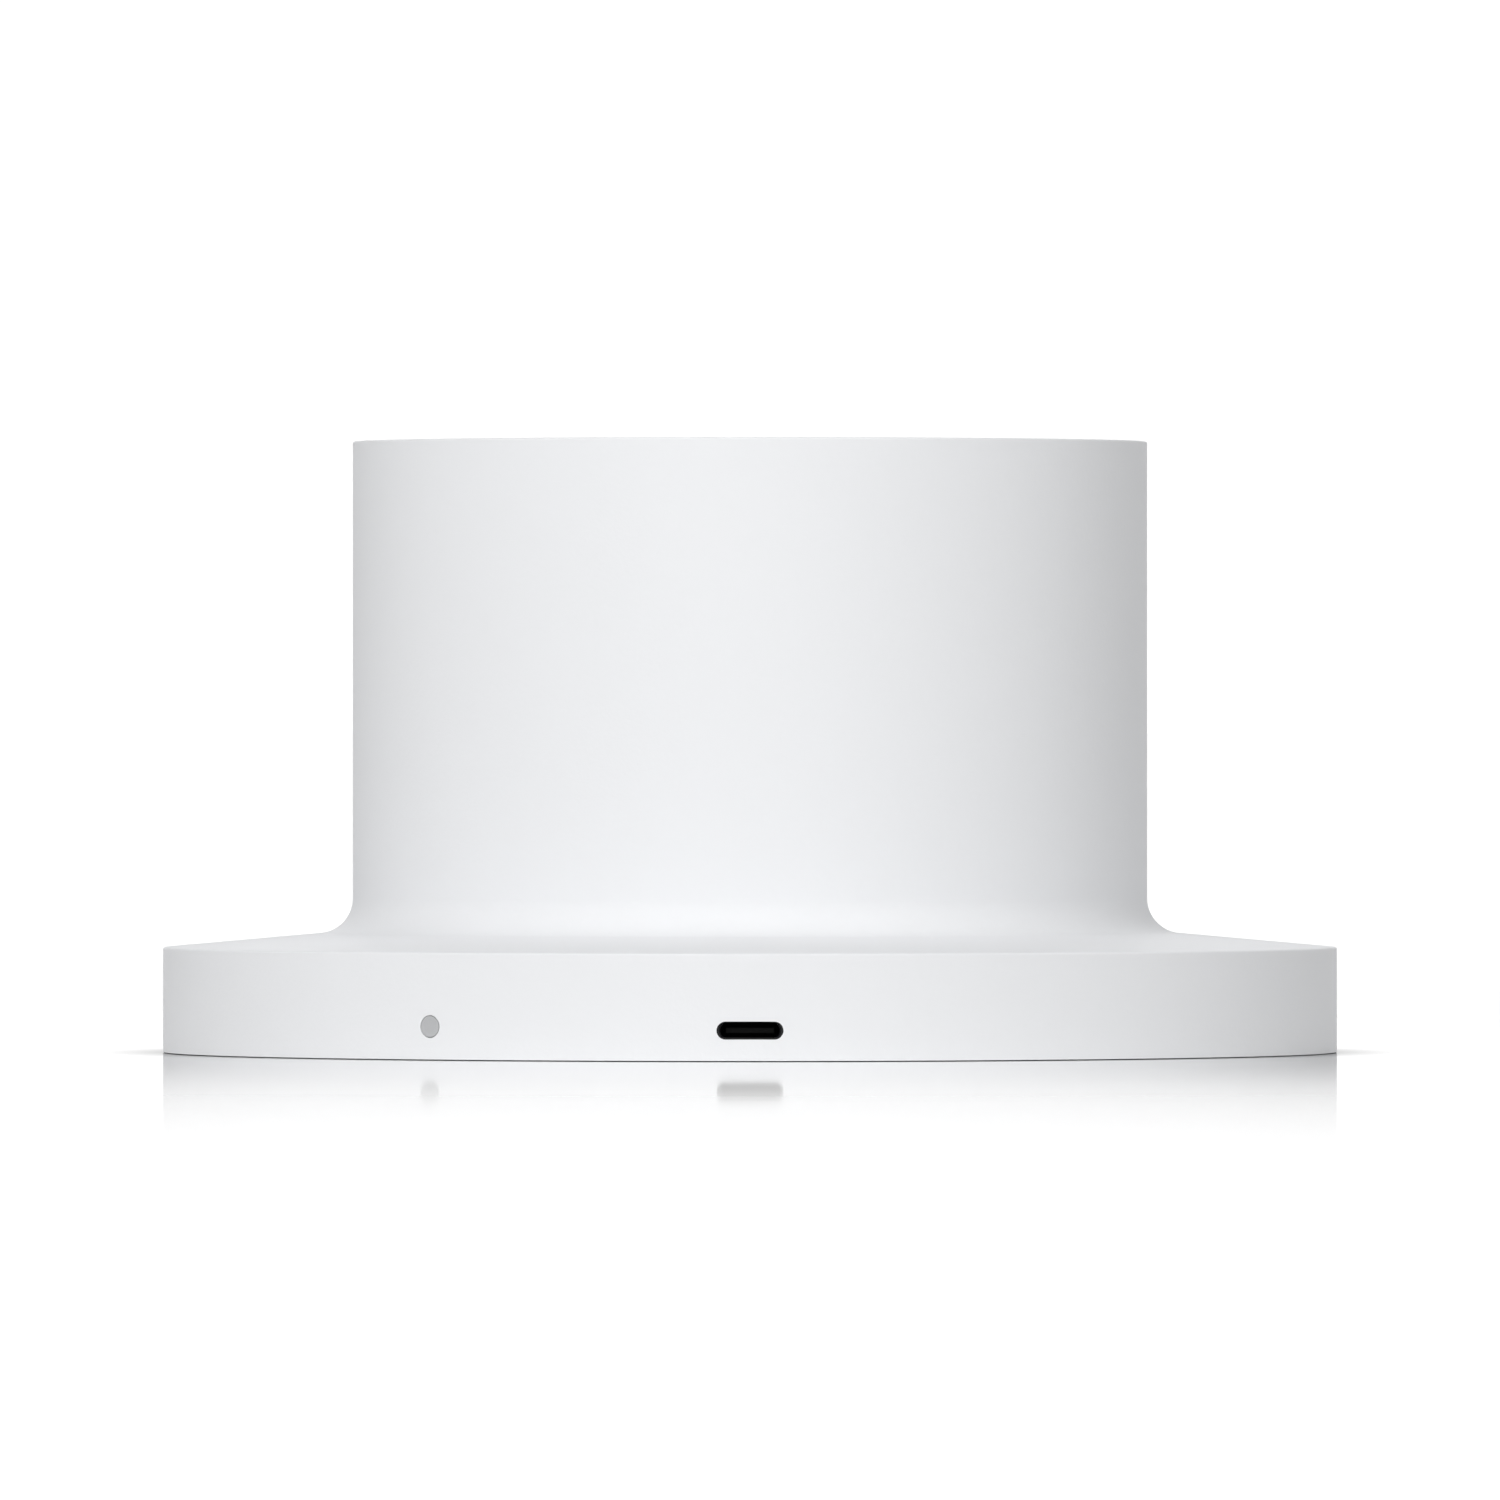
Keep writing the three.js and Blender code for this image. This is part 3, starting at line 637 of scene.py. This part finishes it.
WHITE = (0.845, 0.853, 0.868)
M = {
    "shell": grained_plastic("shell_white", WHITE, 0.52, grain=0.000019, scale=1250.0, amount=0.004, spec=0.05),
    "base": grained_plastic("base_white", (0.78, 0.785, 0.795), 0.58, grain=0.000014, scale=1100.0, amount=0.008, spec=0.15),
    "foot": grained_plastic("foot_rubber", (0.36, 0.365, 0.37), 0.78, grain=0.00003, scale=1500.0, amount=0.05, spec=0.3),
    "button": grained_plastic("button_grey", (0.475, 0.48, 0.49), 0.5, grain=0.000008, scale=1800.0, amount=0.02, spec=0.15),
    "screw": metal("screw_steel", (0.52, 0.53, 0.55), 0.34),
    # connector shell: steel darkened to near black as painted shade, so the slot's inside reads dark
    "port": metal("connector_steel", (0.008, 0.008, 0.009), 0.55),
    # connector tongue: black plastic, darkened further to near black as painted shade inside the slot
    "tongue": grained_plastic("connector_black", (0.0015, 0.0015, 0.0015), 0.8, grain=0.000004, scale=3000.0, amount=0.1, spec=0.1),
    "gasket": grained_plastic("gasket_black", (0.02, 0.02, 0.021), 0.8, grain=0.000004, scale=3000.0, amount=0.06, spec=0.2),
    "black": grained_plastic("switch_black", (0.02, 0.02, 0.021), 0.5, grain=0.000005, scale=2500.0, amount=0.1),
    "chip": grained_plastic("chip_black", (0.03, 0.03, 0.032), 0.55, grain=0.000005, scale=2600.0, amount=0.12),
    "board": board("board_green", (0.018, 0.10, 0.05)),
    "module": board("module_board", (0.012, 0.045, 0.07)),
    "can": metal("can_steel", (0.62, 0.63, 0.65), 0.3, brushed=(1, 12, 1)),
    "spring": metal("spring_steel", (0.66, 0.66, 0.68), 0.22),
    "inductor": grained_plastic("inductor_grey", (0.045, 0.046, 0.05), 0.7, grain=0.00002, scale=2200.0, amount=0.15),
    "capacitor": metal("capacitor_can", (0.74, 0.75, 0.77), 0.25, brushed=(1, 1, 9)),
    "pad": grained_plastic("pad_blue", (0.16, 0.24, 0.36), 0.85, grain=0.00002, scale=1500.0, amount=0.08),
    "sink": metal("heat_sink_aluminium", (0.72, 0.73, 0.75), 0.42, scale=1500.0, grain=0.00001),
    "carrier": grained_plastic("carrier_black", (0.035, 0.036, 0.04), 0.6, grain=0.00001, scale=1500.0, amount=0.1),
    "antenna": metal("antenna_copper", (0.72, 0.42, 0.22), 0.3, brushed=(1, 1, 6)),
    "lead": grained_plastic("lead_black", (0.02, 0.02, 0.02), 0.45, grain=0.000006, scale=2600.0, amount=0.1),
}


def paint(obj, mat):
    obj.data.materials.clear()
    obj.data.materials.append(M[mat])


paint(shell, "shell")
paint(base, "base")
paint(pad, "foot")
paint(cap, "button")
for o in scene.objects:
    if o.name.startswith("cover_screw"):
        paint(o, "screw")
BY_NODE = {
    "main_board": "board", "usb_c_shell": "port", "usb_c_tongue": "tongue", "port_gasket": "gasket",
    "switch_plunger": "black", "switch_body": "black", "switch_dome": "spring",
    "soc": "chip", "dram": "chip", "flash_memory": "chip", "power_chip": "chip", "crystal": "can",
    "inductor": "inductor", "capacitor": "capacitor", "soc_shield": "can", "thermal_pad": "pad",
    "heat_sink": "sink", "heat_sink_screw": "screw", "board_screw": "screw", "carrier_screw": "screw",
    "wireless_board": "module", "wireless_can": "can", "antenna_carrier": "carrier",
    "antenna": "antenna", "antenna_lead": "lead",
}
for name, obj in frame["nodes"].items():
    if obj.hide_render:
        continue
    stem = name if name in BY_NODE else name.rsplit("_", 1)[0]
    for k in range(max(1, len(obj.material_slots))):
        if not obj.material_slots:
            obj.data.materials.append(M[BY_NODE[stem]])
        else:
            obj.material_slots[k].material = M[BY_NODE[stem]]

# ------------------------------------------------------------ floor and light
FLOOR_NEAR, FLOOR_FAR, FLOOR_ROUGH = 0.86, 1.03, 0.04
WORLD_LIGHT, WORLD_SEEN = 0.02, 1.08
fm = bpy.data.meshes.new("floor")
S = 30.0
fm.from_pydata([(-S, -S, 0), (S, -S, 0), (S, S, 0), (-S, S, 0)], [], [(0, 1, 2, 3)])
floor = bpy.data.objects.new("floor", fm)
scene.collection.objects.link(floor)
fmat = bpy.data.materials.new("floor_white")
fmat.use_nodes = True
fnt = fmat.node_tree
fnt.nodes.clear()


def fnode(kind, **values):
    nd = fnt.nodes.new(kind)
    for k, v in values.items():
        if k == "op":
            nd.operation = v
        else:
            nd.inputs[k].default_value = v
    return nd


def fmath(op, a, b, clamp=False):
    nd = fnt.nodes.new("ShaderNodeMath")
    nd.operation = op
    nd.use_clamp = clamp
    for k, v in enumerate((a, b)):
        if isinstance(v, (int, float)):
            nd.inputs[k].default_value = v
        else:
            fnt.links.new(v, nd.inputs[k])
    return nd.outputs[0]


# white table: clean white glow with a painted soft contact shadow (occlusion darkens the glow and the reflection's
# colour), polished round the object and duller farther out
geo = fnode("ShaderNodeNewGeometry")
flat = fnode("ShaderNodeVectorMath", op="MULTIPLY")
flat.inputs[1].default_value = (1, 1, 0)
fnt.links.new(geo.outputs["Position"], flat.inputs[0])
dist = fnode("ShaderNodeVectorMath", op="LENGTH")
fnt.links.new(flat.outputs["Vector"], dist.inputs[0])
away = fmath("SUBTRACT", dist.outputs["Value"], FLANGE_R * MM, True)
polish = fmath("DIVIDE", 1.11, fmath("ADD", fmath("POWER", fmath("DIVIDE", away, 0.215), 2.2), 1.0))
fres = fnode("ShaderNodeFresnel", IOR=1.5)
coat = fmath("MULTIPLY", fres.outputs[0], polish, True)
# occlusion round the object, mapped below into painted contact shade
near = fnode("ShaderNodeAmbientOcclusion", Distance=0.012)
painted_contact_shade = fnode("ShaderNodeMapRange")
painted_contact_shade.inputs["From Min"].default_value = 0.45
painted_contact_shade.inputs["To Min"].default_value = 0.63
fnt.links.new(near.outputs["AO"], painted_contact_shade.inputs["Value"])
gloss = fnode("ShaderNodeBsdfGlossy", Roughness=FLOOR_ROUGH)
# painted contact shade darkens the floor's reflection near the object
fnt.links.new(painted_contact_shade.outputs["Result"], gloss.inputs["Color"])
body = fnode("ShaderNodeBsdfDiffuse", Color=(0.2, 0.2, 0.2, 1))
# glow a little dimmer near the object and brighter farther out, evening out the lamps' falloff
level = fnode("ShaderNodeMapRange")
level.inputs["From Min"].default_value = 0.3
level.inputs["From Max"].default_value = 2.6
level.inputs["To Min"].default_value = FLOOR_NEAR
level.inputs["To Max"].default_value = FLOOR_FAR
fnt.links.new(dist.outputs["Value"], level.inputs["Value"])
lit = fnode("ShaderNodeEmission", Color=(1, 1, 1, 1))
# glow strength: that level times the painted contact shade
fnt.links.new(fmath("MULTIPLY", level.outputs["Result"], painted_contact_shade.outputs["Result"]), lit.inputs["Strength"])
both = fnode("ShaderNodeAddShader")
fnt.links.new(body.outputs[0], both.inputs[0])
fnt.links.new(lit.outputs[0], both.inputs[1])
seen = fnode("ShaderNodeMixShader")
fnt.links.new(coat, seen.inputs["Fac"])
fnt.links.new(both.outputs[0], seen.inputs[1])
fnt.links.new(gloss.outputs[0], seen.inputs[2])
matt = fnode("ShaderNodeBsdfDiffuse", Color=(0.81, 0.81, 0.81, 1))
path = fnode("ShaderNodeLightPath")
mixs = fnode("ShaderNodeMixShader")
fnt.links.new(fmath("MULTIPLY", path.outputs["Diffuse Depth"], 1.0, True), mixs.inputs["Fac"])
fnt.links.new(seen.outputs[0], mixs.inputs[1])
fnt.links.new(matt.outputs[0], mixs.inputs[2])
fout = fnode("ShaderNodeOutputMaterial")
fnt.links.new(mixs.outputs[0], fout.inputs["Surface"])
fmat.cycles.emission_sampling = "NONE"
floor.data.materials.append(fmat)

world = bpy.data.worlds.new("studio")
scene.world = world
world.use_nodes = True
wn = world.node_tree
bg = wn.nodes["Background"]
lp = wn.nodes.new("ShaderNodeLightPath")
mx = wn.nodes.new("ShaderNodeMapRange")
mx.inputs["To Min"].default_value = WORLD_SEEN
mx.inputs["To Max"].default_value = WORLD_LIGHT
wn.links.new(lp.outputs["Diffuse Depth"], mx.inputs["Value"])
wn.links.new(mx.outputs["Result"], bg.inputs["Strength"])
bg.inputs["Color"].default_value = (1.0, 1.0, 1.0, 1.0)


def softbox(name, az, el, dist, size, power, color):
    d = bpy.data.lights.new(name, "AREA")
    d.shape, d.size, d.energy, d.color = "DISK", size, power, color
    o = bpy.data.objects.new(name, d)
    scene.collection.objects.link(o)
    a, e = math.radians(az), math.radians(el)
    o.location = (math.sin(a) * math.cos(e) * dist, -math.cos(a) * math.cos(e) * dist, math.sin(e) * dist + 0.04)
    o.rotation_mode = "QUATERNION"
    o.rotation_quaternion = (Vector((0, 0, 0.04)) - o.location).to_track_quat("-Z", "Y")
    o.visible_camera = False
    o.visible_glossy = abs(az) < 120
    return o


# an area light of power P and a distance d gives about P / (pi^2 d^2) W/m2 sr on its axis
softbox("key", -20, 45, 2.2, 1.3, 10.2, (1, 1, 1))
softbox("key_low", -20, 15, 2.2, 1.3, 18.3, (1, 1, 1))
softbox("side_left", -60, 15, 2.2, 1.3, 7.1, (1, 1, 1))
softbox("side_right", 60, 15, 2.2, 1.3, 13.6, (1, 1, 1))
softbox("top", 0, 80, 2.2, 1.3, 13.0, (1, 1, 1))
softbox("back", 180, 20, 2.2, 1.3, 14.0, (1, 1, 1))

scene.view_settings.view_transform = "Standard"
scene.view_settings.look = "None"
scene.view_settings.exposure = 0.0
scene.view_settings.gamma = 1.0
scene.cycles.use_denoising = True
